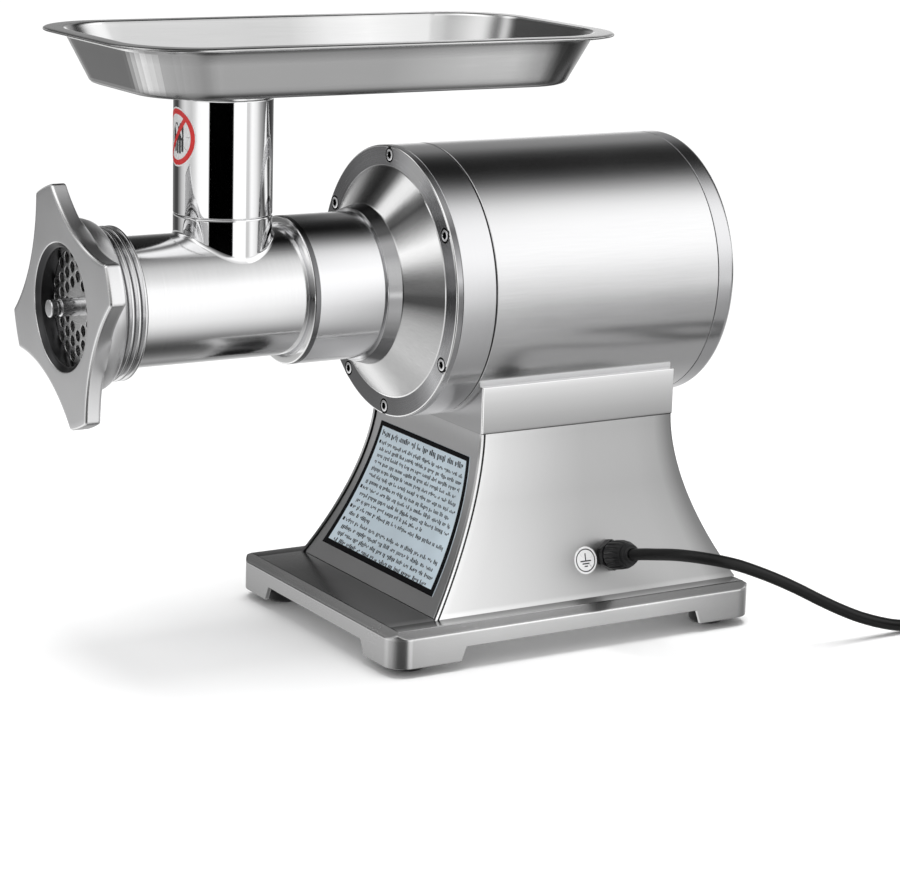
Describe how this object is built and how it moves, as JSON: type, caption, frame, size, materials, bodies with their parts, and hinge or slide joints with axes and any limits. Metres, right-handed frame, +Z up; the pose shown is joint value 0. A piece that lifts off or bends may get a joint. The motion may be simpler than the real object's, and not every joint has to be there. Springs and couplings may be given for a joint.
{
  "type": "electric meat grinder",
  "caption": "Bench meat grinder: barrel with auger, hole plate and star nut, feed tube and tray, geared motor in a drum casing on a flared steel stand, mains cord.",
  "frame": {"origin": "on the table under the middle of the machine's box, cord, gland and plug left out", "axes": "+Z up, the grinding axis along Y with the hole plate facing -Y, +X towards the side with the cord"},
  "size_m": [0.394, 0.6535, 0.404],
  "materials": {
    "satin_steel": "satin brushed stainless steel",
    "polished_steel": "polished stainless steel",
    "cast_aluminium": "satin machined casting",
    "cast_iron": "raw casting",
    "dark_steel": "blackened steel",
    "gear_steel": "ground steel",
    "lamination": "stacked steel sheet",
    "copper": "enamelled copper wire",
    "bronze": "bearing bronze",
    "black_rubber": "soft matt",
    "black_plastic": "moulded",
    "red_plastic": "moulded",
    "white_plastic": "moulded",
    "label_film": "printed film",
    "white_film": "printed film"
  },
  "bodies": {
    "root": {"base_plate": "satin_steel", "rubber_feet": "black_rubber", "foot_screws": "gear_steel", "bottom_cover": "satin_steel", "pedestal_shell": "satin_steel", "pedestal_bolts": "gear_steel", "front_panel": "satin_steel", "instruction_plate": "label_film", "earth_label": "white_film", "saddle": "satin_steel", "saddle_bolts": "gear_steel", "motor_casing": "satin_steel", "rear_cap": "satin_steel", "rear_cap_screws": "gear_steel", "casing_gasket": "black_rubber", "gearbox_housing": "cast_aluminium", "front_cover": "cast_aluminium", "cover_screws": "dark_steel", "head_socket": "polished_steel", "motor_frame": "cast_aluminium", "front_shield": "cast_aluminium", "rear_shield": "cast_aluminium", "stator_core": "lamination", "stator_windings": "copper", "motor_bearings": "gear_steel", "gear_bearings": "gear_steel", "shaft_seal": "black_rubber", "capacitor": "black_plastic", "terminal_block": "white_plastic", "switch_housing": "black_plastic", "breaker_housing": "black_plastic", "cable_gland": "black_plastic", "cord": "black_rubber", "cord_coil": "black_rubber", "plug": "black_plastic"},
    "rotor": {"rotor_shaft": "gear_steel", "rotor_core": "lamination", "cooling_fan": "black_plastic"},
    "layshaft": {"countershaft": "gear_steel", "intermediate_gear": "gear_steel"},
    "drive": {"output_shaft": "gear_steel", "output_gear": "gear_steel"},
    "head": {"grinding_barrel": "polished_steel", "plate_pin": "gear_steel", "auger_bush": "white_plastic"},
    "feed_screw": {"auger": "polished_steel", "auger_stud": "satin_steel", "cutting_knife": "satin_steel"},
    "plate": {"hole_plate": "satin_steel"},
    "nut": {"ring_nut": "cast_aluminium"},
    "feed_pipe": {"feed_tube": "polished_steel", "tube_sticker": "white_film"},
    "pan": {"tray": "satin_steel", "tray_collar": "satin_steel"},
    "lock_foot": {"lock_pad": "bronze"},
    "lock_grip": {"lock_knob": "black_plastic"},
    "rocker": {"switch_rocker": "red_plastic"},
    "button": {"reset_button": "red_plastic"}
  },
  "joints": [
    {"name": "rotor_spin", "type": "hinge", "parent": "root", "child": "rotor", "pos_m": [0, 0.12, 0.237], "axis": [0, 1, 0], "continuous": true},
    {"name": "countershaft_spin", "type": "hinge", "parent": "root", "child": "layshaft", "pos_m": [0, 0.04, 0.198], "axis": [0, 1, 0], "continuous": true},
    {"name": "output_spin", "type": "hinge", "parent": "root", "child": "drive", "pos_m": [0, 0, 0.237], "axis": [0, 1, 0], "continuous": true},
    {"name": "head_slide", "type": "slide", "parent": "root", "child": "head", "axis": [0, -1, 0], "range_m": [0, 0.075]},
    {"name": "auger_spin", "type": "hinge", "parent": "head", "child": "feed_screw", "pos_m": [0, -0.1, 0.237], "axis": [0, 1, 0], "continuous": true},
    {"name": "plate_slide", "type": "slide", "parent": "head", "child": "plate", "axis": [0, -1, 0], "range_m": [0, 0.00901]},
    {"name": "ring_nut_turn", "type": "hinge", "parent": "plate", "child": "nut", "pos_m": [0, -0.22, 0.237], "axis": [0, -1, 0], "range_deg": [0, 720]},
    {"name": "feed_tube_lift", "type": "slide", "parent": "head", "child": "feed_pipe", "axis": [0, 0, 1], "range_m": [0, 0.025]},
    {"name": "tray_lift", "type": "slide", "parent": "feed_pipe", "child": "pan", "axis": [0, 0, 1], "range_m": [0, 0.045]},
    {"name": "lock_pad_slide", "type": "slide", "parent": "root", "child": "lock_foot", "axis": [-1, 0, 0], "range_m": [0, 0.00301]},
    {"name": "lock_knob_turn", "type": "hinge", "parent": "lock_foot", "child": "lock_grip", "pos_m": [-0.07, -0.05, 0.237], "axis": [-1, 0, 0], "range_deg": [0, 720]},
    {"name": "switch_rock", "type": "hinge", "parent": "root", "child": "rocker", "pos_m": [-0.07638, 0.111, 0.092], "axis": [0, 1, 0], "range_deg": [-18, 0]},
    {"name": "reset_press", "type": "slide", "parent": "root", "child": "button", "axis": [0.9842, 0, -0.1771], "range_m": [0, 0.003], "stiffness_N_per_m": 400, "springref_m": -0.002}
  ],
  "couplings": [
    {"joint": "countershaft_spin", "follows": "rotor_spin", "ratio": -0.33333},
    {"joint": "output_spin", "follows": "rotor_spin", "ratio": 0.13095},
    {"joint": "auger_spin", "follows": "rotor_spin", "ratio": 0.13095},
    {"joint": "plate_slide", "follows": "ring_nut_turn", "m_per_rad": 0.0007162},
    {"joint": "lock_pad_slide", "follows": "lock_knob_turn", "m_per_rad": 0.00023873}
  ]
}
